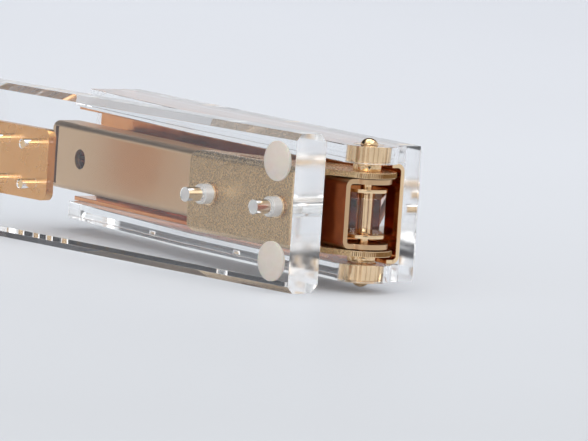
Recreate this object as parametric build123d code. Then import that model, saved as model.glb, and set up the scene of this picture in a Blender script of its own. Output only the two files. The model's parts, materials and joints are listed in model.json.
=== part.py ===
from build123d import *
import math
import os

# Desk stapler in clear acrylic with gold metal parts, lying on its long side.
# Millimetres. While it is built, X = 0 is the heel end of the base plate and -X
# runs to the nose, Y = 0 is the plane of the feet and +Y runs to the top of the
# arm, and Z runs along the hinge pin, with Z = 0 on the base plate's lower side.
# The magazine and the arm are drawn about the hinge pin, level, and then tilted.

# ---- driving dimensions -------------------------------------------------------
BASE_LENGTH = 134.0
BASE_WIDTH = 38.0
BASE_THICKNESS = 9.2
BASE_CHAMFER = 1.6            # round the outer face
BASE_INNER_CHAMFER = 2.0      # round the inner face
BASE_NOSE_RADIUS = 5.0

FOOT_RADIUS = 4.75
FOOT_HEIGHT = 1.5
FOOT_RIM = 0.6
FOOT_INSET_X = 6.3
FOOT_INSET_Z = 7.1

PIN_X = -1.0                  # the hinge pin is just inside the heel end
PIN_ABOVE_BASE = 14.0
PIN_RADIUS = 1.4
PIN_HEAD_RADIUS = 2.2
PIN_HEAD_HEIGHT = 1.45
PIN_HEAD_GAP = 0.1            # under the head and under the cap
PIN_TAIL = 0.725              # the pin's plain end, inside the cap
BUSH_RADIUS = 3.6
BUSH_PRESS = 0.02             # radial, where a bush is pressed into the acrylic
REST_TILT = 7.0               # degrees that magazine and arm stand open

ARM_WIDTH = 32.5
ARM_NOSE = 131.0              # from the pin
ARM_HEEL = 3.5
ARM_WALL = 4.25
ARM_UNDERSIDE = 8.3           # underside of the top plate, above the pin
ARM_PLATE = 5.3
ARM_EDGE_CHAMFER = 1.2
ARM_NOSE_RADIUS = 6.0
ARM_HUB_RADIUS = 7.2
ARM_WALL_LEVEL = 60.0         # the walls keep their depth this far from the pin
ARM_WALL_NOSE_DEPTH = 2.0     # then rise to this far below the pin at the nose

RUNNING_CLEARANCE = 0.05      # radial, between the pin and what turns on it
SIDE_GAP = 0.3                # between bodies that pass each other

BRACKET_WIDTH = 20.0
BRACKET_SHEET = 1.35
BRACKET_GAP = 3.0             # the bracket stands this far off the base plate
BRACKET_NOSE_X = -48.4
BRACKET_HEEL_X = -9.2
BRACKET_LIP = 2.4
BRACKET_LIP_BEND = 1.2
BRACKET_EAR_RADIUS = 6.9
BRACKET_BEND = 2.2
BRACKET_CORNER = 2.4          # nose corners of its floor
BRACKET_SHOULDER = 4.2        # height of the ears' square nose end
BRACKET_SLOT_X = (-33.0, -25.0)     # lanced slots in the ears, from the pin
BRACKET_SLOT_ABOVE = (2.6, 4.4)     # above the bracket's floor

SCREW_X = (-40.5, -14.7)
SCREW_RADIUS = 1.75
SCREW_RECESS = 0.2            # below the base plate's outer face
SPACER_RADIUS = 2.5
WASHER_RADIUS = 2.85
WASHER_SHEET = 0.5

MAG_WIDTH = 16.7
MAG_SHEET = 1.2
MAG_FLOOR = 8.0               # outer face of the magazine's floor, below the pin
MAG_TOP = 0.6                 # top edges of the magazine's walls, below the pin
MAG_NOSE = 123.4              # inner face of the front plate, from the pin
MAG_HEEL = 3.5
MAG_EAR_RADIUS = 6.0
MAG_BEND = 1.9
MAG_HOLE_RADIUS = 2.5
MAG_HOLE_AT = 111.0
EXIT_SLOT = 1.5               # the staples leave through this gap in the floor

CORE_WIDTH = 11.7             # standard staples straddle it
CORE_SHEET = 0.8
CORE_TOP = 1.35
CORE_NOSE_GAP = 1.3
CORE_EAR_RADIUS = 5.2
CORE_SLOT_WIDTH = 3.2
CORE_SLOT_NOSE = 2.0          # the slot starts this far from the core's nose
CORE_SLOT_HEEL = 8.0          # and ends this far short of the rod's heel

PUSHER_LENGTH = 16.0
PUSHER_SHEET = 0.45
PUSHER_NOSE_GAP = 3.0
PUSHER_SKIRT_GAP = 0.6        # between its sides and the magazine's floor
PUSHER_WEB = 5.0
PUSHER_TUBE_RADIUS = 1.7
ROD_RADIUS = 0.8
ROD_BELOW_PIN = 4.2
ROD_HEEL = 9.0
ROD_NOSE_GAP = 0.1
ROD_PROUD = 0.2               # of the stop ring
STOP_RADIUS = 1.6
STOP_LENGTH = 1.2
SPRING_RADIUS = 1.5
SPRING_WIRE = 0.22
SPRING_PITCH = 4.0
SPRING_END_GAP = 0.1

BLOCK_LENGTH = 9.8            # clear block on the pin, between the core's ears
BLOCK_WIDTH = 9.6
BLOCK_DEPTH = 7.4
BLOCK_BEVEL = 2.1
BLOCK_BEVEL_DEPTH = 1.26
BLOCK_TURN = -42.0            # its broad face looks down past the heel
SLEEVE_RADIUS = 2.0           # gold sleeve on the pin, inside the block

FRAME_SHEET = 1.05
FRAME_FLANGE = 7.5
FRAME_HEEL_FLANGE = 3.6
FRAME_HEEL_RELIEF = 16.0
FRAME_BEND = 2.0
FRAME_NOSE = 127.0
FRAME_SCREW_AT = (12.0, 62.0, 100.0)
FRAME_SCREW_RADIUS = 1.3
FRAME_SCREW_HEAD = 2.3
FRAME_SCREW_HEAD_HEIGHT = 0.8
FRAME_SCREW_DEPTH = 3.6
FRAME_SCREW_TIP_GAP = 0.2

DRIVER_WIDTH = 12.4
DRIVER_SHEET = 0.55
DRIVER_TIP = 0.5              # tip at rest, below the pin
LEAF_WIDTH = 8.0
LEAF_SHEET = 0.4
LIFT_LEAF_X = (-26.0, -30.0, -46.0, -48.0)
LIFT_LEAF_RISE = (0.0, 0.0, 3.6, 3.2)
ARM_LEAF_X = (-22.0, -32.0, -54.0, -56.0)   # from the pin
ARM_LEAF_DROP = (0.0, 0.0, 3.6, 3.3)

ANVIL_HEEL_X = -100.0
ANVIL_NOSE_X = -129.5
ANVIL_WIDTH = 17.6
ANVIL_THICKNESS = 2.2
ANVIL_CORNER = 2.0
ANVIL_POCKET = (1.7, 0.9, 5.6)      # wide, deep and long
ANVIL_POCKET_ROUND = 0.72
ANVIL_POCKET_SPACE = 0.5      # from the mid plane to each pocket
ANVIL_POCKET_X = -123.4
ANVIL_RIVET_X = (-105.0, -116.5)
ANVIL_RIVET_Z = 4.95
RIVET_RADIUS = 1.2
RIVET_RECESS = 0.4            # below the base plate's outer face
RIVET_TIP_GAP = 0.1           # below the anvil's face

# ---- worked out from them -----------------------------------------------------
MID_Z = BASE_WIDTH / 2
BASE_OUTER_Y = FOOT_HEIGHT
BASE_INNER_Y = FOOT_HEIGHT + BASE_THICKNESS
PIN_Y = BASE_INNER_Y + PIN_ABOVE_BASE
BRACKET_Y = BASE_INNER_Y + BRACKET_GAP
ARM_TOP = ARM_UNDERSIDE + ARM_PLATE
ARM_WALL_INNER = ARM_WIDTH / 2 - ARM_WALL
FRAME_INNER_Y = ARM_UNDERSIDE - FRAME_SHEET
MAG_FLOOR_INNER = MAG_FLOOR - MAG_SHEET
CORE_NOSE = MAG_NOSE - CORE_NOSE_GAP
SAME = 0.01                   # faces this close are at one level
PAST = 1.0                    # how far a cutter runs past the face it opens
FAR = 80.0                    # reach of a cutter that clears a whole side


# ---- helpers ------------------------------------------------------------------
def box(x0, x1, y0, y1, z0, z1):
    """A box between two corners."""
    centre = ((x0 + x1) / 2, (y0 + y1) / 2, (z0 + z1) / 2)
    return Pos(*centre) * Box(abs(x1 - x0), abs(y1 - y0), abs(z1 - z0))


def rod_z(x, y, radius, z0, z1):
    """A round bar along Z."""
    return Pos(x, y, (z0 + z1) / 2) * Cylinder(radius, abs(z1 - z0))


def rod_y(x, z, radius, y0, y1):
    """A round bar along Y."""
    return Pos(x, (y0 + y1) / 2, z) * Rot(90, 0, 0) * Cylinder(radius, abs(y1 - y0))


def rod_x(y, z, radius, x0, x1):
    """A round bar along X."""
    return Pos((x0 + x1) / 2, y, z) * Rot(0, 90, 0) * Cylinder(radius, abs(x1 - x0))


def plate(points, z0, z1):
    """A flat plate from its outline in X and Y, between two heights."""
    outline = make_face(Polyline(*points, close=True))
    return Pos(0, 0, z0) * extrude(outline, z1 - z0)


def tangent_point(px, py, radius, side):
    """Where a line from (px, py) touches a circle about the origin."""
    reach = math.hypot(px, py)
    turn = math.acos(radius / reach)
    angle = math.atan2(py, px) + side * turn
    return (radius * math.cos(angle), radius * math.sin(angle))


def edges_along_x(solid, y, half_width):
    """The long edges at one height and one distance from the mid plane."""
    def wanted(edge):
        middle = edge.center()
        level = abs(middle.Y - y) < SAME
        aside = abs(abs(middle.Z) - half_width) < SAME
        return level and aside
    return solid.edges().filter_by(Axis.X).filter_by(wanted)


def outside_bend(x, y, radius, half_width):
    """What a bend of that outer radius takes off a square heel corner at (x, y)."""
    corner = box(x - radius, x + SAME, y - SAME, y + radius, -half_width, half_width)
    return corner - rod_z(x - radius, y + radius, radius, -half_width, half_width)


def dome(radius, height):
    """A spherical cap on the XY plane, pointing up."""
    ball = (radius ** 2 + height ** 2) / (2 * height)
    cap = Pos(0, 0, height - ball) * Sphere(ball)
    keep = Pos(0, 0, ball) * Box(2 * ball, 2 * ball, 2 * ball)
    return cap & keep


def leaf_outline(xs, heights, sheet):
    """A leaf spring's outline: along one face and back along the other."""
    face = list(zip(xs, heights))
    return face + [(x, y + sheet) for x, y in reversed(face)]


def tilted(shape):
    """Takes a piece drawn about the pin to its place at rest."""
    return Pos(PIN_X, PIN_Y, MID_Z) * Rot(0, 0, -REST_TILT) * shape


# ---- base ---------------------------------------------------------------------
def rim_but_heel(face):
    """A face's edges, apart from the one at the heel end."""
    edges = face.edges()
    heel_edge = edges.sort_by(Axis.X)[-1]
    return [edge for edge in edges if edge != heel_edge]


def base_plate():
    body = box(-BASE_LENGTH, 0, BASE_OUTER_Y, BASE_INNER_Y, 0, BASE_WIDTH)
    nose_corners = body.edges().filter_by(Axis.Y).group_by(Axis.X)[0]
    body = fillet(nose_corners, BASE_NOSE_RADIUS)
    body = chamfer(rim_but_heel(body.faces().sort_by(Axis.Y)[0]), BASE_CHAMFER)
    body = chamfer(rim_but_heel(body.faces().sort_by(Axis.Y)[-1]), BASE_INNER_CHAMFER)
    for x in SCREW_X:
        body -= rod_y(x, MID_Z, SCREW_RADIUS, BASE_OUTER_Y - PAST, BASE_INNER_Y + PAST)
    for x in ANVIL_RIVET_X:
        for side in (-1, 1):
            z = MID_Z + side * ANVIL_RIVET_Z
            body -= rod_y(x, z, RIVET_RADIUS, BASE_OUTER_Y - PAST, BASE_INNER_Y + PAST)
    return body


def foot(x, z):
    disc = Cylinder(FOOT_RADIUS, FOOT_RIM, align=(Align.CENTER, Align.CENTER, Align.MIN))
    disc += Pos(0, 0, FOOT_RIM) * dome(FOOT_RADIUS, FOOT_HEIGHT - FOOT_RIM)
    return Pos(x, BASE_OUTER_Y, z) * Rot(90, 0, 0) * disc


def ear_outline():
    """The bracket's ear about the pin: a round hub blended into a long foot."""
    low = BRACKET_Y - PIN_Y
    nose = BRACKET_NOSE_X - PIN_X
    heel = BRACKET_HEEL_X - PIN_X
    shoulder = low + BRACKET_SHOULDER
    upper = tangent_point(nose, shoulder, BRACKET_EAR_RADIUS, -1)
    lower = tangent_point(heel, low, BRACKET_EAR_RADIUS, 1)
    return [(nose, low), (nose, shoulder), upper, (0, 0), lower, (heel, low)]


def base_bracket():
    half = BRACKET_WIDTH / 2
    inner = half - BRACKET_SHEET
    low = BRACKET_Y - PIN_Y
    heel = BRACKET_HEEL_X - PIN_X
    outline = ear_outline()
    blank = plate(outline, -half, half)
    blank += rod_z(0, 0, BRACKET_EAR_RADIUS, -half, half)
    blank = fillet(edges_along_x(blank, low, half), BRACKET_BEND)
    hollow = box(-FAR, FAR, low + BRACKET_SHEET, FAR, -inner, inner)
    hollow = fillet(edges_along_x(hollow, low + BRACKET_SHEET, inner), BRACKET_BEND - BRACKET_SHEET)
    lip = box(heel - BRACKET_SHEET, heel, low, low + BRACKET_LIP, -inner, inner)
    body = blank - hollow + lip
    body -= outside_bend(heel, low, BRACKET_LIP_BEND, half)
    plan = box(BRACKET_NOSE_X - PIN_X, FAR, -FAR, FAR, -half, half)
    body &= fillet(plan.edges().filter_by(Axis.Y).group_by(Axis.X)[0], BRACKET_CORNER)
    body -= rod_z(0, 0, PIN_RADIUS, -half - PAST, half + PAST)
    for x in SCREW_X:
        body -= rod_y(x - PIN_X, 0, SCREW_RADIUS, low - PAST, low + BRACKET_SHEET + PAST)
    slot_low, slot_high = (low + above for above in BRACKET_SLOT_ABOVE)
    body -= box(*BRACKET_SLOT_X, slot_low, slot_high, -half - PAST, half + PAST)
    return Pos(PIN_X, PIN_Y, MID_Z) * body


def base_screws():
    low = BASE_OUTER_Y + SCREW_RECESS
    tip = BRACKET_Y + BRACKET_SHEET
    return [rod_y(x, MID_Z, SCREW_RADIUS, low, tip) for x in SCREW_X]


def rings_on_screws(radius, y0, y1):
    rings = []
    for x in SCREW_X:
        ring = rod_y(x, MID_Z, radius, y0, y1)
        rings.append(ring - rod_y(x, MID_Z, SCREW_RADIUS, y0 - PAST, y1 + PAST))
    return rings


def base_spacers():
    return rings_on_screws(SPACER_RADIUS, BASE_INNER_Y, BRACKET_Y - WASHER_SHEET)


def base_washers():
    return rings_on_screws(WASHER_RADIUS, BRACKET_Y - WASHER_SHEET, BRACKET_Y)


def anvil_plate():
    half = ANVIL_WIDTH / 2
    top = BASE_INNER_Y + ANVIL_THICKNESS
    body = box(ANVIL_NOSE_X, ANVIL_HEEL_X, BASE_INNER_Y, top, MID_Z - half, MID_Z + half)
    body = fillet(body.edges().filter_by(Axis.Y), ANVIL_CORNER)
    wide, deep, long = ANVIL_POCKET
    for side in (-1, 1):
        centre = MID_Z + side * (long / 2 + ANVIL_POCKET_SPACE)
        pocket = Pos(ANVIL_POCKET_X, top, centre) * Box(wide, 2 * deep, long)
        body -= fillet(pocket.edges().filter_by(Axis.X), ANVIL_POCKET_ROUND)
    for x in ANVIL_RIVET_X:
        for side in (-1, 1):
            z = MID_Z + side * ANVIL_RIVET_Z
            body -= rod_y(x, z, RIVET_RADIUS, BASE_INNER_Y - PAST, top + PAST)
    return body


def anvil_rivets():
    top = BASE_INNER_Y + ANVIL_THICKNESS
    rivets = []
    for x in ANVIL_RIVET_X:
        for side in (-1, 1):
            z = MID_Z + side * ANVIL_RIVET_Z
            low = BASE_OUTER_Y + RIVET_RECESS
            rivets.append(rod_y(x, z, RIVET_RADIUS, low, top - RIVET_TIP_GAP))
    return rivets


def lift_spring():
    """Leaf on the bracket's floor that lifts the magazine."""
    low = BRACKET_Y + BRACKET_SHEET
    half = LEAF_WIDTH / 2
    heights = [low + rise for rise in LIFT_LEAF_RISE]
    outline = leaf_outline(LIFT_LEAF_X, heights, LEAF_SHEET)
    return plate(outline, MID_Z - half, MID_Z + half)


def hinge_pin():
    half = ARM_WIDTH / 2
    shaft = rod_z(0, 0, PIN_RADIUS, -half - PIN_TAIL, half + PIN_HEAD_GAP)
    head = Pos(0, 0, half + PIN_HEAD_GAP) * dome(PIN_HEAD_RADIUS, PIN_HEAD_HEIGHT)
    return Pos(PIN_X, PIN_Y, MID_Z) * (shaft + head)


def pin_cap():
    half = ARM_WIDTH / 2
    cap = Pos(0, 0, -half - PIN_HEAD_GAP) * Rot(180, 0, 0) * dome(PIN_HEAD_RADIUS, PIN_HEAD_HEIGHT)
    cap -= rod_z(0, 0, PIN_RADIUS, -half - PIN_TAIL, half)
    return Pos(PIN_X, PIN_Y, MID_Z) * cap


def hinge_bush(side):
    inner = BRACKET_WIDTH / 2
    outer = ARM_WALL_INNER - SIDE_GAP
    ring = rod_z(0, 0, BUSH_RADIUS, side * inner, side * outer)
    ring -= rod_z(0, 0, PIN_RADIUS, -ARM_WIDTH, ARM_WIDTH)
    return Pos(PIN_X, PIN_Y, MID_Z) * ring


def hinge_block():
    """Clear block with a bevelled, step-cut front, bored for the sleeve."""
    half_w = BLOCK_WIDTH / 2
    half_l = BLOCK_LENGTH / 2
    half_d = BLOCK_DEPTH / 2
    body = box(-half_d, half_d, -half_w, half_w, -half_l, half_l)
    front = body.faces().sort_by(Axis.X)[-1]
    body = chamfer(front.edges(), BLOCK_BEVEL_DEPTH, BLOCK_BEVEL, reference=front)
    body -= rod_z(0, 0, SLEEVE_RADIUS, -half_l - PAST, half_l + PAST)
    return Pos(PIN_X, PIN_Y, MID_Z) * Rot(0, 0, BLOCK_TURN) * body


def hinge_sleeve():
    half = BLOCK_LENGTH / 2
    ring = rod_z(0, 0, SLEEVE_RADIUS, -half, half)
    ring -= rod_z(0, 0, PIN_RADIUS, -half - PAST, half + PAST)
    return Pos(PIN_X, PIN_Y, MID_Z) * ring


# ---- magazine -----------------------------------------------------------------
def magazine_channel():
    half = MAG_WIDTH / 2
    inner = half - MAG_SHEET
    body = box(-MAG_NOSE, MAG_HEEL, -MAG_FLOOR, -MAG_TOP, -half, half)
    body = fillet(edges_along_x(body, -MAG_FLOOR, half), MAG_BEND)
    body += rod_z(0, 0, MAG_EAR_RADIUS, -half, half)
    hollow = box(-MAG_NOSE - PAST, FAR, -MAG_FLOOR_INNER, FAR, -inner, inner)
    corners = edges_along_x(hollow, -MAG_FLOOR_INNER, inner)
    body -= fillet(corners, MAG_BEND - MAG_SHEET)
    under = -MAG_FLOOR - PAST
    over = -MAG_FLOOR_INNER + PAST
    body -= box(-MAG_NOSE - PAST, -MAG_NOSE + EXIT_SLOT, under, over, -inner, inner)
    body -= rod_y(-MAG_HOLE_AT, 0, MAG_HOLE_RADIUS, under, over)
    body -= rod_z(0, 0, PIN_RADIUS + RUNNING_CLEARANCE, -half - PAST, half + PAST)
    return tilted(body)


def magazine_front():
    half = MAG_WIDTH / 2
    body = box(-MAG_NOSE - MAG_SHEET, -MAG_NOSE, -MAG_FLOOR, -MAG_TOP, -half, half)
    body = fillet(edges_along_x(body, -MAG_FLOOR, half), MAG_BEND)
    return tilted(body)


def staple_core():
    half = CORE_WIDTH / 2
    inner = half - CORE_SHEET
    body = box(-CORE_NOSE, 0, -MAG_FLOOR_INNER, -CORE_TOP, -half, half)
    body = fillet(edges_along_x(body, -CORE_TOP, half), CORE_SHEET)
    body += rod_z(0, 0, CORE_EAR_RADIUS, -half, half)
    body -= box(-CORE_NOSE - PAST, -ROD_HEEL, -MAG_FLOOR, -CORE_TOP - CORE_SHEET, -inner, inner)
    body -= box(-ROD_HEEL + CORE_SHEET, FAR, -FAR, FAR, -inner, inner)
    slot = CORE_SLOT_WIDTH / 2
    slot_x = (-CORE_NOSE + CORE_SLOT_NOSE, -ROD_HEEL - CORE_SLOT_HEEL)
    body -= box(*slot_x, -CORE_TOP - CORE_SHEET - PAST, -CORE_TOP + PAST, -slot, slot)
    nose_tab = box(-CORE_NOSE, -CORE_NOSE + CORE_SHEET, -MAG_FLOOR_INNER, -CORE_TOP, -inner, inner)
    body += nose_tab
    body -= rod_z(0, 0, PIN_RADIUS + RUNNING_CLEARANCE, -half - PAST, half + PAST)
    body -= rod_x(-ROD_BELOW_PIN, 0, ROD_RADIUS, -CORE_NOSE - PAST, 0)
    return tilted(body)


def guide_rod():
    heel = -ROD_HEEL + CORE_SHEET + STOP_LENGTH + ROD_PROUD
    return tilted(rod_x(-ROD_BELOW_PIN, 0, ROD_RADIUS, -CORE_NOSE + ROD_NOSE_GAP, heel))


def rod_stop():
    nose = -ROD_HEEL + CORE_SHEET
    ring = rod_x(-ROD_BELOW_PIN, 0, STOP_RADIUS, nose, nose + STOP_LENGTH)
    return tilted(ring - rod_x(-ROD_BELOW_PIN, 0, ROD_RADIUS, -ROD_HEEL, 0))


def pusher_front():
    """Front face of the pusher, from the pin, with the magazine empty."""
    return -CORE_NOSE + CORE_SHEET + PUSHER_NOSE_GAP


def pusher():
    inner = CORE_WIDTH / 2 + SIDE_GAP
    outer = inner + PUSHER_SHEET
    top = -CORE_TOP + SIDE_GAP
    x0 = pusher_front()
    x1 = x0 + PUSHER_LENGTH
    low = -MAG_FLOOR_INNER + PUSHER_SKIRT_GAP
    body = box(x0, x1, low, top + PUSHER_SHEET, -outer, outer)
    body -= box(x0 - PAST, x1 + PAST, -FAR, top, -inner, inner)
    web = CORE_SLOT_WIDTH / 2 - SIDE_GAP
    web_x = x1 - PUSHER_WEB
    body += box(web_x, x1, -ROD_BELOW_PIN, top, -web, web)
    body += rod_x(-ROD_BELOW_PIN, 0, PUSHER_TUBE_RADIUS, web_x, x1)
    bore = ROD_RADIUS + RUNNING_CLEARANCE
    body -= rod_x(-ROD_BELOW_PIN, 0, bore, web_x - PAST, x1 + PAST)
    return tilted(body)


def follower_spring():
    """Coil round the guide rod, between the pusher and the heel end of the core."""
    x0 = pusher_front() + PUSHER_LENGTH + SPRING_WIRE + SPRING_END_GAP
    x1 = -ROD_HEEL - SPRING_WIRE - SPRING_END_GAP
    path = Helix(SPRING_PITCH, x1 - x0, SPRING_RADIUS)
    start = Plane(origin=path @ 0, z_dir=path % 0)
    coil = sweep(start * Circle(SPRING_WIRE), path, is_frenet=True)
    return tilted(Pos(x0, -ROD_BELOW_PIN, 0) * Rot(0, 90, 0) * coil)


# ---- arm ----------------------------------------------------------------------
def arm_top_plate():
    half = ARM_WIDTH / 2
    body = box(-ARM_NOSE, ARM_HEEL, ARM_UNDERSIDE, ARM_TOP, -half, half)
    nose_corners = body.edges().filter_by(Axis.Y).group_by(Axis.X)[0]
    body = fillet(nose_corners, ARM_NOSE_RADIUS)
    top_rim = body.faces().sort_by(Axis.Y)[-1].edges()
    body = chamfer(top_rim, ARM_EDGE_CHAMFER)
    for x in FRAME_SCREW_AT:
        top = ARM_UNDERSIDE + FRAME_SCREW_DEPTH
        body -= rod_y(-x, 0, FRAME_SCREW_RADIUS, ARM_UNDERSIDE - PAST, top)
    return tilted(body)


def arm_wall(side):
    inner = ARM_WALL_INNER
    outer = ARM_WIDTH / 2
    z0, z1 = sorted((side * inner, side * outer))
    nose = -ARM_NOSE + ARM_NOSE_RADIUS
    points = [
        (nose, ARM_UNDERSIDE),
        (nose, -ARM_WALL_NOSE_DEPTH),
        (-ARM_WALL_LEVEL, -ARM_HUB_RADIUS),
        (0, -ARM_HUB_RADIUS),
        (0, 0),
        (ARM_HEEL, 0),
        (ARM_HEEL, ARM_UNDERSIDE),
    ]
    body = plate(points, z0, z1)
    hub = rod_z(0, 0, ARM_HUB_RADIUS, z0, z1)
    body += hub & box(-FAR, FAR, -FAR, ARM_UNDERSIDE, -outer, outer)
    body -= rod_z(0, 0, BUSH_RADIUS - BUSH_PRESS, -outer - PAST, outer + PAST)
    return tilted(body)


def arm_bush(side):
    """Gold bush in the wall, flush with both of its faces, that turns on the pin."""
    inner = side * ARM_WALL_INNER
    outer = side * ARM_WIDTH / 2
    ring = rod_z(0, 0, BUSH_RADIUS, inner, outer)
    return tilted(ring - rod_z(0, 0, PIN_RADIUS + RUNNING_CLEARANCE, -ARM_WIDTH, ARM_WIDTH))


def arm_frame():
    half = ARM_WALL_INNER
    inner = half - FRAME_SHEET
    body = box(-FRAME_NOSE, ARM_HEEL, ARM_UNDERSIDE - FRAME_FLANGE, ARM_UNDERSIDE, -half, half)
    body = fillet(edges_along_x(body, ARM_UNDERSIDE, half), FRAME_BEND)
    hollow = box(-FRAME_NOSE - PAST, ARM_HEEL + PAST, -FAR, FRAME_INNER_Y, -inner, inner)
    body -= fillet(edges_along_x(hollow, FRAME_INNER_Y, inner), FRAME_BEND - FRAME_SHEET)
    relief = ARM_UNDERSIDE - FRAME_HEEL_FLANGE
    body -= box(-FRAME_HEEL_RELIEF, FAR, -FAR, relief, -half - PAST, half + PAST)
    for x in FRAME_SCREW_AT:
        body -= rod_y(-x, 0, FRAME_SCREW_RADIUS, FRAME_INNER_Y - PAST, ARM_UNDERSIDE + PAST)
    return tilted(body)


def frame_screws():
    screws = []
    for x in FRAME_SCREW_AT:
        top = ARM_UNDERSIDE + FRAME_SCREW_DEPTH - FRAME_SCREW_TIP_GAP
        low = FRAME_INNER_Y - FRAME_SCREW_HEAD_HEIGHT
        screw = rod_y(-x, 0, FRAME_SCREW_RADIUS, low, top)
        screw += rod_y(-x, 0, FRAME_SCREW_HEAD, low, FRAME_INNER_Y)
        screws.append(tilted(screw))
    return screws


def driver_blade():
    """Blade that drives the front staple, with its foot under the frame's web."""
    half = DRIVER_WIDTH / 2
    x0 = -MAG_NOSE + (CORE_NOSE_GAP - DRIVER_SHEET) / 2
    x1 = x0 + DRIVER_SHEET
    body = box(x0, x1, -DRIVER_TIP, FRAME_INNER_Y, -half, half)
    return tilted(body)


def arm_leaf_spring():
    """Leaf under the frame's web that parts the arm from the magazine."""
    half = LEAF_WIDTH / 2
    heights = [FRAME_INNER_Y - drop for drop in ARM_LEAF_DROP]
    outline = leaf_outline(ARM_LEAF_X, heights, -LEAF_SHEET)
    return tilted(plate(outline, -half, half))


# ---- assembly -----------------------------------------------------------------
def build_all():
    parts = {}
    parts["base_plate"] = base_plate()
    feet_x = {"heel": -FOOT_INSET_X, "nose": -BASE_LENGTH + FOOT_INSET_X}
    feet_z = {"upper": BASE_WIDTH - FOOT_INSET_Z, "lower": FOOT_INSET_Z}
    for end, x in feet_x.items():
        for level, z in feet_z.items():
            parts[f"foot_{end}_{level}"] = foot(x, z)
    parts["base_bracket"] = base_bracket()
    parts["base_screws"] = base_screws()
    parts["base_spacers"] = base_spacers()
    parts["base_washers"] = base_washers()
    parts["anvil_plate"] = anvil_plate()
    parts["anvil_rivets"] = anvil_rivets()
    parts["lift_spring"] = lift_spring()
    parts["hinge_pin"] = hinge_pin()
    parts["pin_cap"] = pin_cap()
    parts["hinge_bush_upper"] = hinge_bush(1)
    parts["hinge_bush_lower"] = hinge_bush(-1)
    parts["hinge_block"] = hinge_block()
    parts["hinge_sleeve"] = hinge_sleeve()
    parts["magazine_channel"] = magazine_channel()
    parts["magazine_front"] = magazine_front()
    parts["staple_core"] = staple_core()
    parts["guide_rod"] = guide_rod()
    parts["rod_stop"] = rod_stop()
    parts["pusher"] = pusher()
    parts["follower_spring"] = follower_spring()
    parts["arm_top_plate"] = arm_top_plate()
    parts["arm_wall_upper"] = arm_wall(1)
    parts["arm_wall_lower"] = arm_wall(-1)
    parts["arm_bush_upper"] = arm_bush(1)
    parts["arm_bush_lower"] = arm_bush(-1)
    parts["arm_frame"] = arm_frame()
    parts["frame_screws"] = frame_screws()
    parts["driver_blade"] = driver_blade()
    parts["arm_leaf_spring"] = arm_leaf_spring()
    return parts


def as_shape(piece):
    """One shape for a node: a group of separate solids becomes a compound."""
    if isinstance(piece, list):
        return Compound(children=piece)
    return piece


def write_parts():
    """Centres the assembly over the origin and writes one file per node."""
    os.makedirs("parts", exist_ok=True)
    shapes = {name: as_shape(piece) for name, piece in build_all().items()}
    boxes = [shape.bounding_box() for shape in shapes.values()]
    low_x = min(b.min.X for b in boxes)
    high_x = max(b.max.X for b in boxes)
    low_y = min(b.min.Y for b in boxes)
    high_y = max(b.max.Y for b in boxes)
    shift_x = -(low_x + high_x) / 2
    shift_y = -(low_y + high_y) / 2
    for name, shape in shapes.items():
        export_step(Pos(shift_x, shift_y, 0) * shape, f"parts/{name}.step")
    print("shift", round(shift_x, 4), round(shift_y, 4))
    print("hinge axis at", round(PIN_X + shift_x, 4), round(PIN_Y + shift_y, 4))
    print("size", round(high_x - low_x, 3), round(high_y - low_y, 3))


write_parts()
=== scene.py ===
import json
import math

import bpy
from mathutils import Matrix, Vector


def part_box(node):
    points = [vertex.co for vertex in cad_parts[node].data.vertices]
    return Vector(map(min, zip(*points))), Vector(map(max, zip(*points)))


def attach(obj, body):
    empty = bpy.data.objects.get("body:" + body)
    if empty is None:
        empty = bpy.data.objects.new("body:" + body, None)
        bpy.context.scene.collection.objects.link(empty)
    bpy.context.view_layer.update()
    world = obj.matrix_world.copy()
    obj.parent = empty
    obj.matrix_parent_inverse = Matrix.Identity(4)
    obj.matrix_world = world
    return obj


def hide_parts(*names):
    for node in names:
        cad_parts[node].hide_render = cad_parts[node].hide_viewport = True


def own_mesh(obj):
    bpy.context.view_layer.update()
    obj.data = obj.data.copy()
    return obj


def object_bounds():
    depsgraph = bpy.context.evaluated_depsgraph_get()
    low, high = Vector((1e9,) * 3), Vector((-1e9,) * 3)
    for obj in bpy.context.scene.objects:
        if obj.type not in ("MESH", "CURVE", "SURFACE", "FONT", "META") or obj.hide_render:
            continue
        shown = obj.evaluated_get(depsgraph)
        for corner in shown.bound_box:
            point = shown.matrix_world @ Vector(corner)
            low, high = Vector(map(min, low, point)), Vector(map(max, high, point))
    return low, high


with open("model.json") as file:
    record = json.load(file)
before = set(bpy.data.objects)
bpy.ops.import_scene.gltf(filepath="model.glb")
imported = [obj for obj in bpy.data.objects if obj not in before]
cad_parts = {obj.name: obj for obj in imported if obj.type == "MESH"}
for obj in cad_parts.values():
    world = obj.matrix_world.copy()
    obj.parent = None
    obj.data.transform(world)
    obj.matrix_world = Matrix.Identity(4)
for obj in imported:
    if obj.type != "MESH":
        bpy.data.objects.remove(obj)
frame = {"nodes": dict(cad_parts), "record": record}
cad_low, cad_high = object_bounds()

# Clear acrylic desk stapler with gold metal parts, lying on its long side.
# Metres, in the shared frame: +X from nose to heel, +Y from the feet to the arm, +Z up.

MM = 0.001

# ---- camera -------------------------------------------------------------------
CAMERA_AZIMUTH = math.radians(50)
CAMERA_ELEVATION = math.radians(5.79)
CAMERA_ROLL = math.radians(3.74)
CAMERA_DISTANCE = 1.785
FRAMED_WIDTH = 0.13835          # across the picture, at the heel of the base plate
SENSOR_WIDTH = 36.0
AIM_RIGHT = 0.38 * MM
AIM_DOWN = 1.48 * MM
CLIP_NEAR = 0.05
CLIP_FAR = 50.0

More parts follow.
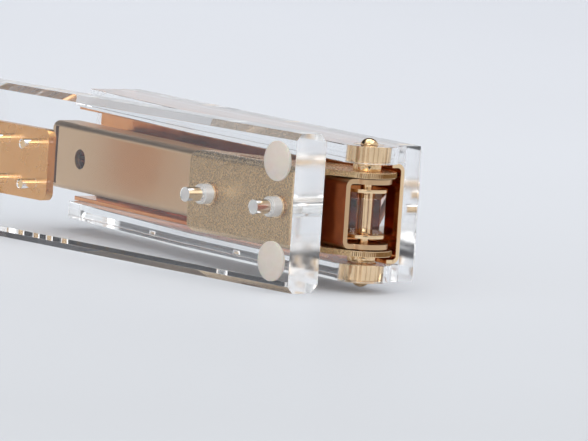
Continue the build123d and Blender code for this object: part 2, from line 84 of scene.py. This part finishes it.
# ---- studio -------------------------------------------------------------------
FLOOR_HALF = 8.0
# painted shade: the floor darker near the stapler and in front of it, paler behind
FLOOR_NEAR_SHADED = (0.61, 0.63, 0.66, 1.0)
FLOOR_FAR = (0.89, 0.92, 0.985, 1.0)
FLOOR_SPAN = (-0.3, 1.0)        # metres past the stapler, where they are reached
FLOOR_ROUGH = (0.45, 0.55)
FLOOR_GRAIN = 0.3
SKY_PALE = (0.80, 0.82, 0.86, 1.0)
SKY_DARK = (0.035, 0.035, 0.04, 1.0)
SKY_TOP = (1.0, 1.0, 1.0, 1.0)
SKY_STRENGTH = 0.9
LIGHT_BOUNCES = 40
DARK_DIRECTION = (-1.0, 0.1, 0.0)    # the middle of the unlit side
DARK_SIDE = (0.15, 0.40)        # how far round from it the light comes back
DARK_LOW = (0.26, 0.34)         # sine of the elevation where it starts
DARK_HIGH = (0.84, 0.72)        # and where the light overhead takes over
CARD_TURN = math.radians(12)    # a narrow dark card, beside the main view
CARD_SPAN = (0.965, 0.985)
OVERHEAD_PLACE = (0.1, 0.1, 1.2)
OVERHEAD_SIZE = (1.4, 1.4)
OVERHEAD_POWER = 9.0
FRONT_PLACE = (0.9, -0.9, 0.7)
FRONT_SIZE = (0.9, 0.6)
FRONT_POWER = 4.0

# ---- finishes -----------------------------------------------------------------
UNSTRETCHED = (1.0, 1.0, 1.0)
LENGTHWISE = (0.03, 1.0, 1.0)   # a grain drawn out along the sheet
NOISE_RANGE = (0.3, 0.7)        # nearly all noise values lie inside it

ACRYLIC_IOR = 1.49
ACRYLIC_COLOUR = (0.985, 0.992, 0.995, 1.0)
ACRYLIC_SHADOW = (0.90, 0.91, 0.92, 1.0)
ACRYLIC_HAZE = 0.012
ACRYLIC_RELIEF = (9 * MM, 0.02 * MM, 0.05)      # each relief: grain, depth, strength
HAZE_GRAIN = 6 * MM
SMALL_COLOUR = (0.98, 0.975, 0.965, 1.0)
SMALL_CLARITY = 0.7             # the rest of the light is scattered, milky
SMALL_HAZE = 0.04
SAWN_ROUGH = (0.09, 0.15)
SAWN_GRAIN = 3 * MM
SAWN_FACING = (0.985, 0.991)    # faces square to the arm's axis, at the heel

SILICONE_LIGHT = (0.96, 0.89, 0.81, 1.0)
SILICONE_DEEP = (0.84, 0.76, 0.67, 1.0)
SILICONE_ROUGH = (0.42, 0.58)
SILICONE_GRAIN = 1.2 * MM
SILICONE_IOR = 1.41
SILICONE_CLARITY = 0.4
SILICONE_GLOW = 0.4             # share of the light that is scattered under the surface
SILICONE_DEPTH = 1.5 * MM
SILICONE_RELIEF = (0.12 * MM, 0.02 * MM, 0.3)

GOLD_LIGHT = (0.90, 0.68, 0.43, 1.0)
GOLD_DEEP = (0.82, 0.58, 0.34, 1.0)
GOLD_GRAIN = 2 * MM
# painted reflection: dark streaks on polished gold, in place of a reflected surrounding
REFLECTION_STREAK_DEEP = (0.42, 0.23, 0.09, 1.0)
REFLECTION_STREAK_SCALE = 4.5              # painted reflection, set by a surface's direction, so each streak is straight
REFLECTION_STREAK_SPAN = (0.48, 0.58)
# painted shade: dark gold on the groove facets of the ear rims
GROOVE_SHADE_LIGHT = (0.30, 0.16, 0.06, 1.0)
GROOVE_SHADE_DEEP = (0.20, 0.10, 0.035, 1.0)
STIPPLE_PEAK = (0.84, 0.58, 0.31, 1.0)
STIPPLE_PIT = (0.13, 0.07, 0.025, 1.0)
PLAIN_FACING = (0.97, 0.80)     # toward the feet is stippled, and all other ways plain
# painted reflection: the anvil plate's gold turned a saturated orange, for light bounced between
# gold surfaces
ANVIL_REFLECTION_LIGHT = (0.86, 0.46, 0.17, 1.0)
ANVIL_REFLECTION_DEEP = (0.74, 0.36, 0.11, 1.0)
SHADE_LIGHT = (0.36, 0.09, 0.02, 1.0)
SHADE_DEEP = (0.20, 0.04, 0.008, 1.0)
SHADE_GRAIN = 3 * MM
SHADE_SPAN = (26 * MM, 12 * MM)     # from the pin, where the shaded sheet begins
SHADE_FACING = (0.6, 0.9)
# painted shade: deep red gold on the arm frame and the staple core, for metal in shade among gold
# surfaces
INSIDE_SHADE_LIGHT = (0.84, 0.36, 0.12, 1.0)
INSIDE_SHADE_DEEP = (0.66, 0.25, 0.08, 1.0)
INSIDE_ROUGH = (0.12, 0.22)
CORE_BRIGHT = (7.5 * MM, 6.5 * MM)  # from the pin, where the painted shade on the core gives way to bright gold
HEEL_EDGE_FACING = (0.25, 0.6)
SATIN_LIGHT = (0.66, 0.455, 0.275, 1.0)
SATIN_DEEP = (0.61, 0.405, 0.23, 1.0)
SATIN_ROUGH = (0.30, 0.37)
STEEL_LIGHT = (0.74, 0.66, 0.56, 1.0)
STEEL_DEEP = (0.60, 0.51, 0.42, 1.0)
LACQUER = (0.4 * MM, 0.006 * MM, 0.08)
METALS = {      # light and deep tone, roughness, grain, relief
    "gold_bright": (GOLD_LIGHT, GOLD_DEEP, (0.06, 0.14), GOLD_GRAIN, (0.5 * MM, 0.01 * MM, 0.15)),
    "gold_groove_shade": (GROOVE_SHADE_LIGHT, GROOVE_SHADE_DEEP, (0.20, 0.30), GOLD_GRAIN, None),
    "gold_stippled": (
        STIPPLE_PEAK, STIPPLE_PIT, (0.20, 0.30), 0.42 * MM, (0.5 * MM, 0.12 * MM, 0.9)
    ),
    "gold_satin": (SATIN_LIGHT, SATIN_DEEP, SATIN_ROUGH, 0.9 * MM, (0.2 * MM, 0.004 * MM, 0.05)),
    "gold_magazine": (SATIN_LIGHT, SATIN_DEEP, SATIN_ROUGH, 12 * MM, (0.6 * MM, 0.002 * MM, 0.02)),
    "gold_frame": (INSIDE_SHADE_LIGHT, INSIDE_SHADE_DEEP, INSIDE_ROUGH, 3 * MM, LACQUER),
    "gold_core": (INSIDE_SHADE_LIGHT, INSIDE_SHADE_DEEP, INSIDE_ROUGH, 3 * MM, LACQUER),
    "gold_anvil": (ANVIL_REFLECTION_LIGHT, ANVIL_REFLECTION_DEEP, (0.24, 0.34), 4 * MM, LACQUER),
    "spring_steel": (STEEL_LIGHT, STEEL_DEEP, (0.18, 0.28), 1 * MM, (0.2 * MM, 0.01 * MM, 0.1)),
}

# ---- shapes -------------------------------------------------------------------
REST_TILT = math.radians(7)     # of the magazine and the arm
ARM_AXIS = (math.cos(REST_TILT), -math.sin(REST_TILT), 0.0)
FLOOR_AXIS = (-math.sin(REST_TILT), -math.cos(REST_TILT), 0.0)
EDGE_ROUND = 0.16 * MM
ACRYLIC_EDGE_ROUND = 0.18 * MM
EDGE_SEGMENTS = 2
EDGE_ANGLE = math.radians(38)   # only edges sharper than this are rounded
FACE_WEIGHT = 100               # flat faces keep their own normals beside a rounded edge
WELD_DISTANCE = 0.001 * MM
AIR_FILM = 0.01 * MM            # between clear pieces and whatever they touch
CLEAR_SLOTS = ("acrylic_base", "acrylic_arm", "acrylic_small")
EMBEDDING = ("hinge_block",)    # moulded round its sleeve, with no air between them
RIM_TEETH = 40
RIM_ARC = (-60.0, 100.0)        # degrees round the pin, 0 towards the heel
RIM_TOOTH = 0.13 * MM
RIM_ROOT = 0.15 * MM            # how far the band is let into the ear
RIM_MARGIN = 0.12 * MM
RIM_STEP_FACES = 4              # faces that each step of the band adds, its outer one first
EAR_SHEET = 1.35 * MM


# ---- node helpers -------------------------------------------------------------
def new_material(name):
    """A material with its own Principled shader. Gives the material, tree and shader."""
    material = bpy.data.materials.new(name)
    material.use_nodes = True
    tree = material.node_tree
    return material, tree, tree.nodes["Principled BSDF"]


def object_point(tree, stretch=UNSTRETCHED):
    """The place on the piece, in metres, stretched along its axes."""
    mapping = tree.nodes.new("ShaderNodeMapping")
    mapping.inputs["Scale"].default_value = stretch
    tree.links.new(coordinate(tree, "Object"), mapping.inputs["Vector"])
    return mapping.outputs["Vector"]


def noise_at(tree, vector, scale, detail):
    node = tree.nodes.new("ShaderNodeTexNoise")
    node.inputs["Scale"].default_value = scale
    node.inputs["Detail"].default_value = detail
    tree.links.new(vector, node.inputs["Vector"])
    return node.outputs["Fac"]


def noise(tree, grain, detail=2.0, stretch=UNSTRETCHED):
    """Noise whose features are about grain metres across."""
    return noise_at(tree, object_point(tree, stretch), 1 / grain, detail)


def spread(tree, value, low, high):
    """A noise value, taken to the range from low to high."""
    node = tree.nodes.new("ShaderNodeMapRange")
    node.inputs["From Min"].default_value = NOISE_RANGE[0]
    node.inputs["From Max"].default_value = NOISE_RANGE[1]
    node.inputs["To Min"].default_value = low
    node.inputs["To Max"].default_value = high
    tree.links.new(value, node.inputs["Value"])
    return node.outputs["Result"]


def coordinate(tree, kind):
    """A coordinate on the piece: its Object place or its Normal."""
    return tree.nodes.new("ShaderNodeTexCoord").outputs[kind]


def dot(tree, vector, direction):
    """How far a vector reaches in a direction."""
    node = tree.nodes.new("ShaderNodeVectorMath")
    node.operation = "DOT_PRODUCT"
    node.inputs[1].default_value = direction
    tree.links.new(vector, node.inputs[0])
    return node.outputs["Value"]


def along_arm(tree, kind):
    """A place or normal, measured toward the heel along the tilted magazine."""
    return dot(tree, coordinate(tree, kind), ARM_AXIS)


def step(tree, value, low, high, smooth=True):
    """Rises from 0 to 1 as the value goes from low to high."""
    node = tree.nodes.new("ShaderNodeMapRange")
    if smooth:
        node.interpolation_type = "SMOOTHSTEP"
    node.inputs["From Min"].default_value = low
    node.inputs["From Max"].default_value = high
    tree.links.new(value, node.inputs["Value"])
    return node.outputs["Result"]


def combine(tree, operation, first, second):
    """Two values through a Math node, such as MULTIPLY or MAXIMUM."""
    node = tree.nodes.new("ShaderNodeMath")
    node.operation = operation
    tree.links.new(first, node.inputs[0])
    tree.links.new(second, node.inputs[1])
    return node.outputs["Value"]


def blend(tree, factor, first, second):
    """The first colour where the factor is 0, and the second where it is 1.

    The second is a socket, or one plain colour.
    """
    node = tree.nodes.new("ShaderNodeMixRGB")
    tree.links.new(factor, node.inputs["Fac"])
    tree.links.new(first, node.inputs["Color1"])
    if isinstance(second, tuple):
        node.inputs["Color2"].default_value = second
    else:
        tree.links.new(second, node.inputs["Color2"])
    return node.outputs["Color"]


def two_colours(tree, value, first, second):
    """From the first colour to the second, as the value goes from 0 to 1."""
    node = tree.nodes.new("ShaderNodeValToRGB")
    node.color_ramp.elements[0].color = first
    node.color_ramp.elements[1].color = second
    tree.links.new(value, node.inputs["Fac"])
    return node.outputs["Color"]


def bump(tree, shader, relief, stretch=UNSTRETCHED):
    """Small relief, given as its grain, depth and strength."""
    grain, depth, strength = relief
    node = tree.nodes.new("ShaderNodeBump")
    node.inputs["Distance"].default_value = depth
    node.inputs["Strength"].default_value = strength
    tree.links.new(noise(tree, grain, stretch=stretch), node.inputs["Height"])
    tree.links.new(node.outputs["Normal"], shader.inputs["Normal"])


# ---- materials ----------------------------------------------------------------
def acrylic(name, haze=ACRYLIC_HAZE, colour=ACRYLIC_COLOUR, clarity=1.0):
    """Clear polished acrylic, hazier on its sawn heel ends. Lamps shine through it."""
    material, tree, shader = new_material(name)
    shader.inputs["Transmission Weight"].default_value = clarity
    shader.inputs["IOR"].default_value = ACRYLIC_IOR
    shader.inputs["Base Color"].default_value = colour
    rough = spread(tree, noise(tree, HAZE_GRAIN), 0.0, haze)
    sawn = spread(tree, noise(tree, SAWN_GRAIN), *SAWN_ROUGH)
    heel_end = step(tree, along_arm(tree, "Normal"), *SAWN_FACING)
    ends = combine(tree, "MULTIPLY", sawn, heel_end)
    tree.links.new(combine(tree, "MAXIMUM", rough, ends), shader.inputs["Roughness"])
    bump(tree, shader, ACRYLIC_RELIEF)
    path = tree.nodes.new("ShaderNodeLightPath")
    clear = tree.nodes.new("ShaderNodeBsdfTransparent")
    clear.inputs["Color"].default_value = ACRYLIC_SHADOW
    mix = tree.nodes.new("ShaderNodeMixShader")
    tree.links.new(path.outputs["Is Shadow Ray"], mix.inputs["Fac"])
    tree.links.new(shader.outputs["BSDF"], mix.inputs[1])
    tree.links.new(clear.outputs["BSDF"], mix.inputs[2])
    out = tree.nodes["Material Output"]
    tree.links.new(mix.outputs["Shader"], out.inputs["Surface"])
    return material


def metal(name, stretch=UNSTRETCHED):
    """Plated metal whose tone and gloss vary a little over its surface.

    Gives the material, tree and shader, and the socket that its colour comes from.
    """
    light, deep, rough, grain, relief = METALS[name]
    material, tree, shader = new_material(name)
    shader.inputs["Metallic"].default_value = 1.0
    tone = noise(tree, grain, detail=4.0, stretch=stretch)
    colour = two_colours(tree, tone, deep, light)
    tree.links.new(colour, shader.inputs["Base Color"])
    tree.links.new(spread(tree, tone, *rough), shader.inputs["Roughness"])
    if relief:
        bump(tree, shader, relief, stretch)
    return material, tree, shader, colour


def edge_gold(tree, shader, colour, mask):
    """Leaves the metal's colour, which on the frame and the core is painted shade, and turns it to
    bright gold where the mask is 1.
    """
    bright = two_colours(tree, noise(tree, GOLD_GRAIN), GOLD_DEEP, GOLD_LIGHT)
    tree.links.new(blend(tree, mask, colour, bright), shader.inputs["Base Color"])


def gold_bright():
    """Polished gold, with uneven dark streaks of painted reflection on its round parts."""
    material, tree, shader, colour = metal("gold_bright")
    # painted reflection: the streaks come from the surface's normal, not from any light
    streak = noise_at(tree, coordinate(tree, "Normal"), REFLECTION_STREAK_SCALE, 1.0)
    deep = two_colours(tree, noise(tree, GOLD_GRAIN), REFLECTION_STREAK_DEEP, GOLD_DEEP)
    streaked = blend(tree, step(tree, streak, *REFLECTION_STREAK_SPAN), colour, deep)
    tree.links.new(streaked, shader.inputs["Base Color"])
    return material


def gold_frame():
    """The arm frame: deep red gold, which is painted shade, with bright sheared heel edges."""
    material, tree, shader, colour = metal("gold_frame")
    edge_gold(tree, shader, colour, step(tree, along_arm(tree, "Normal"), *HEEL_EDGE_FACING))
    return material


def gold_core(pin):
    """The staple core: deep red gold inside the magazine, which is painted shade, and bright about
    the pin.
    """
    material, tree, shader, colour = metal("gold_core")
    near = [pin - reach for reach in CORE_BRIGHT]
    edge_gold(tree, shader, colour, step(tree, along_arm(tree, "Object"), *near))
    return material


def gold_magazine(pin):
    """Smooth satin sheet with painted shade, deep red, under the hinge, where it faces the bracket.
    """
    material, tree, shader, colour = metal("gold_magazine")
    deep = two_colours(tree, noise(tree, SHADE_GRAIN), SHADE_DEEP, SHADE_LIGHT)
    near = [pin - reach for reach in SHADE_SPAN]
    place = step(tree, along_arm(tree, "Object"), *near)
    outward = step(tree, dot(tree, coordinate(tree, "Normal"), FLOOR_AXIS), *SHADE_FACING)
    shaded = combine(tree, "MULTIPLY", place, outward)
    tree.links.new(blend(tree, shaded, colour, deep), shader.inputs["Base Color"])
    return material


def gold_stippled():
    """Finely stippled floor, with plain bright bends, ears and edges."""
    material, tree, shader, colour = metal("gold_stippled")
    to_feet = dot(tree, coordinate(tree, "Normal"), (0.0, -1.0, 0.0))
    edge_gold(tree, shader, colour, step(tree, to_feet, *PLAIN_FACING))
    return material


def silicone():
    """Frosted, slightly see-through rubber."""
    material, tree, shader = new_material("silicone")
    tone = noise(tree, SILICONE_GRAIN, detail=3.0)
    colour = two_colours(tree, tone, SILICONE_DEEP, SILICONE_LIGHT)
    tree.links.new(colour, shader.inputs["Base Color"])
    tree.links.new(spread(tree, tone, *SILICONE_ROUGH), shader.inputs["Roughness"])
    shader.inputs["IOR"].default_value = SILICONE_IOR
    shader.inputs["Transmission Weight"].default_value = SILICONE_CLARITY
    shader.inputs["Subsurface Weight"].default_value = SILICONE_GLOW
    shader.inputs["Subsurface Scale"].default_value = SILICONE_DEPTH
    bump(tree, shader, SILICONE_RELIEF)
    return material


def finish_nodes():
    """Gives each CAD node the material of its slot, and four sheets one of their own."""
    made = {
        "acrylic_base": acrylic("acrylic_base"),
        "acrylic_arm": acrylic("acrylic_arm"),
        "acrylic_small": acrylic("acrylic_small", SMALL_HAZE, SMALL_COLOUR, SMALL_CLARITY),
        "silicone": silicone(),
        "gold_stippled": gold_stippled(),
        "gold_bright": gold_bright(),
        "gold_satin": metal("gold_satin", LENGTHWISE)[0],
        "spring_steel": metal("spring_steel")[0],
    }
    for part in frame["record"]["subparts"]:
        node = frame["nodes"][part["node"]]
        for place in node.material_slots:
            place.material = made[part["material_slot"]]
    low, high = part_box("hinge_pin")
    pin = Vector((low + high) / 2).dot(Vector(ARM_AXIS))
    special = {
        "arm_frame": gold_frame(),
        "staple_core": gold_core(pin),
        "magazine_channel": gold_magazine(pin),
        # the anvil plate's orange is painted reflection
        "anvil_plate": metal("gold_anvil")[0],
    }
    for name, material in special.items():
        for place in frame["nodes"][name].material_slots:
            place.material = material
    return made


def soften_edges():
    """Closes each mesh's seams and takes the knife edge off its corners."""
    slots = {part["node"]: part["material_slot"] for part in frame["record"]["subparts"]}
    for name, node in frame["nodes"].items():
        weld = node.modifiers.new("seams", "WELD")
        weld.merge_threshold = WELD_DISTANCE
        clear = slots[name] in CLEAR_SLOTS
        if clear:
            film = node.modifiers.new("air_film", "DISPLACE")
            film.mid_level = 0.0
            film.strength = AIR_FILM if name in EMBEDDING else -AIR_FILM
        edge = node.modifiers.new("edges", "BEVEL")
        edge.width = ACRYLIC_EDGE_ROUND if clear else EDGE_ROUND
        edge.segments = EDGE_SEGMENTS
        edge.limit_method = "ANGLE"
        edge.angle_limit = EDGE_ANGLE
        flat = node.modifiers.new("flat_faces", "WEIGHTED_NORMAL")
        flat.weight = FACE_WEIGHT
        flat.keep_sharp = True


# ---- sheared rims of the bracket's ears -----------------------------------------
def rim_line(centre, reaches):
    """Points round the ear's rounded end, one at each reach from the pin."""
    start, end = RIM_ARC
    points = []
    for index, reach in enumerate(reaches):
        angle = math.radians(start + (end - start) * index / (len(reaches) - 1))
        points.append((centre[0] + reach * math.cos(angle), centre[1] + reach * math.sin(angle)))
    return points


def toothed_rim(name, centre, radius, z_low, z_high):
    """A thin band round an ear's rounded end, ribbed as shears leave the metal."""
    steps = 2 * RIM_TEETH
    outer = rim_line(centre, [radius + RIM_TOOTH * (index % 2) for index in range(steps + 1)])
    inner = rim_line(centre, [radius - RIM_ROOT] * (steps + 1))
    vertices = [(x, y, z) for line in (outer, inner) for z in (z_low, z_high) for x, y in line]
    count = steps + 1
    outer_low, outer_high, inner_low, inner_high = (k * count for k in range(4))
    faces = []
    for i in range(steps):
        faces.append((outer_low + i, outer_low + i + 1, outer_high + i + 1, outer_high + i))
        faces.append((inner_low + i + 1, inner_low + i, inner_high + i, inner_high + i + 1))
        faces.append((outer_high + i, outer_high + i + 1, inner_high + i + 1, inner_high + i))
        faces.append((inner_low + i, inner_low + i + 1, outer_low + i + 1, outer_low + i))
    faces.append((outer_low, outer_high, inner_high, inner_low))
    faces.append((inner_low + steps, inner_high + steps, outer_high + steps, outer_low + steps))
    mesh = bpy.data.meshes.new(name)
    mesh.from_pydata(vertices, [], faces)
    rim = bpy.data.objects.new(name, mesh)
    bpy.context.scene.collection.objects.link(rim)
    return rim


def ear_rims(material, groove):
    """The ribbed ends of the bracket's two ears. Every second facet is a groove, coloured dark as
    painted shade.
    """
    pin_low, pin_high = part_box("hinge_pin")
    low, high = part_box("base_bracket")
    centre = ((pin_low.x + pin_high.x) / 2, (pin_low.y + pin_high.y) / 2)
    radius = high.y - centre[1]
    levels = {
        "ear_rim_lower": (low.z + RIM_MARGIN, low.z + EAR_SHEET - RIM_MARGIN),
        "ear_rim_upper": (high.z - EAR_SHEET + RIM_MARGIN, high.z - RIM_MARGIN),
    }
    for name, (z_low, z_high) in levels.items():
        rim = toothed_rim(name, centre, radius, z_low, z_high)
        rim.data.materials.append(material)
        rim.data.materials.append(groove)
        for face in list(rim.data.polygons)[::2 * RIM_STEP_FACES]:
            face.material_index = 1
        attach(rim, "base")


# ---- the spring behind the pusher ------------------------------------------------
def follower_coil(material):
    """The follower spring, as its own copy carried with the magazine. The real spring closes up
    toward the heel as the pusher slides back.
    """
    node = frame["nodes"]["follower_spring"]
    mesh = node.data.copy()
    mesh.materials.clear()
    mesh.materials.append(material)
    coil = bpy.data.objects.new("follower_coil", mesh)
    bpy.context.scene.collection.objects.link(coil)
    coil.matrix_world = node.matrix_world.copy()
    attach(coil, "magazine")
    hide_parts("follower_spring")
    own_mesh(coil)


# ---- studio -------------------------------------------------------------------
def floor():
    """A pale floor with painted shade, a little darker in front of the stapler than behind it."""
    signs = [(-1, -1), (1, -1), (1, 1), (-1, 1)]
    corners = [(x * FLOOR_HALF, y * FLOOR_HALF, 0.0) for x, y in signs]
    mesh = bpy.data.meshes.new("floor")
    mesh.from_pydata(corners, [], [(0, 1, 2, 3)])
    ground = bpy.data.objects.new("floor", mesh)
    bpy.context.scene.collection.objects.link(ground)
    material, tree, shader = new_material("floor")
    backward = (-math.sin(CAMERA_AZIMUTH), math.cos(CAMERA_AZIMUTH), 0.0)
    away = dot(tree, coordinate(tree, "Object"), backward)
    paler = two_colours(tree, step(tree, away, *FLOOR_SPAN, smooth=False), FLOOR_NEAR_SHADED, FLOOR_FAR)
    tree.links.new(paler, shader.inputs["Base Color"])
    tree.links.new(spread(tree, noise(tree, FLOOR_GRAIN), *FLOOR_ROUGH), shader.inputs["Roughness"])
    mesh.materials.append(material)


def sky():
    """Pale all round and bright overhead, dark on the nose side and on one narrow card."""
    world = bpy.data.worlds.new("studio")
    world.use_nodes = True
    bpy.context.scene.world = world
    tree = world.node_tree
    background = tree.nodes["Background"]
    background.inputs["Strength"].default_value = SKY_STRENGTH
    where = coordinate(tree, "Generated")
    height = dot(tree, where, (0.0, 0.0, 1.0))
    above = step(tree, height, *DARK_LOW)
    below = step(tree, height, *DARK_HIGH)
    facing = step(tree, dot(tree, where, DARK_DIRECTION), *DARK_SIDE)
    nose_side = combine(tree, "MULTIPLY", combine(tree, "MULTIPLY", above, below), facing)
    turn = CAMERA_AZIMUTH + CARD_TURN
    card = step(tree, dot(tree, where, (math.sin(turn), -math.cos(turn), 0.0)), *CARD_SPAN)
    dark = combine(tree, "MAXIMUM", nose_side, card)
    pale = two_colours(tree, height, SKY_PALE, SKY_TOP)
    tree.links.new(blend(tree, dark, pale, SKY_DARK), background.inputs["Color"])


def softbox(name, place, aim, size, power):
    lamp = bpy.data.lights.new(name, "AREA")
    lamp.shape = "RECTANGLE"
    lamp.size, lamp.size_y = size
    lamp.energy = power
    holder = bpy.data.objects.new(name, lamp)
    bpy.context.scene.collection.objects.link(holder)
    holder.location = place
    holder.rotation_mode = "QUATERNION"
    holder.rotation_quaternion = (Vector(aim) - Vector(place)).to_track_quat("-Z", "Y")


def lamps():
    centre = (cad_low + cad_high) / 2
    softbox("overhead", OVERHEAD_PLACE, centre, OVERHEAD_SIZE, OVERHEAD_POWER)
    softbox("front", FRONT_PLACE, centre, FRONT_SIZE, FRONT_POWER)


def camera():
    """Looks at the heel end of the base plate, with the stapler's underside toward it."""
    low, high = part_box("base_plate")
    target = Vector((high.x, low.y, (low.z + high.z) / 2))
    look = Vector((
        -math.sin(CAMERA_AZIMUTH) * math.cos(CAMERA_ELEVATION),
        math.cos(CAMERA_AZIMUTH) * math.cos(CAMERA_ELEVATION),
        -math.sin(CAMERA_ELEVATION),
    ))
    level = Vector((math.cos(CAMERA_AZIMUTH), math.sin(CAMERA_AZIMUTH), 0.0))
    upright = level.cross(look)
    right = math.cos(CAMERA_ROLL) * level + math.sin(CAMERA_ROLL) * upright
    up = -math.sin(CAMERA_ROLL) * level + math.cos(CAMERA_ROLL) * upright
    aim = target + AIM_RIGHT * right - AIM_DOWN * up
    data = bpy.data.cameras.new("camera")
    data.sensor_width = SENSOR_WIDTH
    data.lens = SENSOR_WIDTH * CAMERA_DISTANCE / FRAMED_WIDTH
    data.clip_start = CLIP_NEAR
    data.clip_end = CLIP_FAR
    holder = bpy.data.objects.new("camera", data)
    bpy.context.scene.collection.objects.link(holder)
    turn = Matrix((right, up, -look)).transposed().to_4x4()
    holder.matrix_world = Matrix.Translation(aim - look * CAMERA_DISTANCE) @ turn
    bpy.context.scene.camera = holder


def light_depth():
    """Light is reflected many times over inside the long clear plates."""
    scene = bpy.context.scene
    scene.view_settings.view_transform = "Standard"
    scene.cycles.max_bounces = LIGHT_BOUNCES
    scene.cycles.transmission_bounces = LIGHT_BOUNCES
    scene.cycles.glossy_bounces = LIGHT_BOUNCES
    scene.cycles.transparent_max_bounces = LIGHT_BOUNCES


materials = finish_nodes()
soften_edges()
ear_rims(materials["gold_bright"], metal("gold_groove_shade")[0])
follower_coil(materials["spring_steel"])
floor()
sky()
lamps()
camera()
light_depth()
